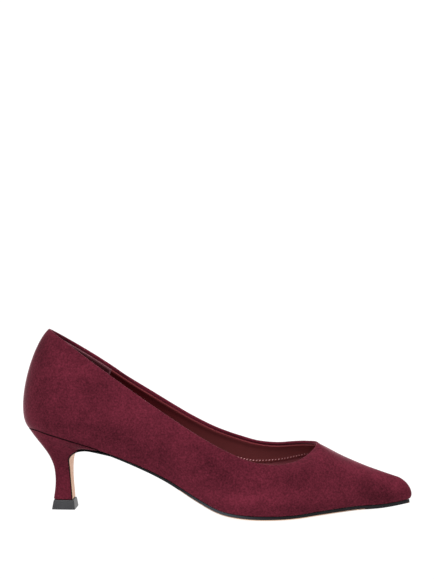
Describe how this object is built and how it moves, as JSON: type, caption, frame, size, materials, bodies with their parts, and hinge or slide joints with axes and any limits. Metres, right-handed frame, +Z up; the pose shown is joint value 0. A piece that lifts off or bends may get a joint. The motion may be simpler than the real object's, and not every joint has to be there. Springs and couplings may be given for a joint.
{
  "type": "court shoe with kitten heel",
  "caption": "Women's slip-on court shoe with a pointed toe, a low-cut suede upper, a thin leather sole and a flared, suede-covered kitten heel on a rubber top piece",
  "frame": {"origin": "on the floor, under the middle of the shoe's box", "axes": "+X to the toe, +Y to the inner side of the foot, +Z up"},
  "size_m": [0.2594, 0.076, 0.1209],
  "materials": {
    "suede": "burgundy suede with a soft short nap",
    "lining": "smooth dark wine lining leather, slightly glossy",
    "sole_leather": "natural tan sole leather with a black painted edge",
    "top_piece_rubber": "dense dark grey rubber, satin"
  },
  "bodies": {
    "root": {"upper": "suede", "heel": "suede", "insole": "lining", "outsole": "sole_leather", "top_piece": "top_piece_rubber"}
  },
  "joints": []
}
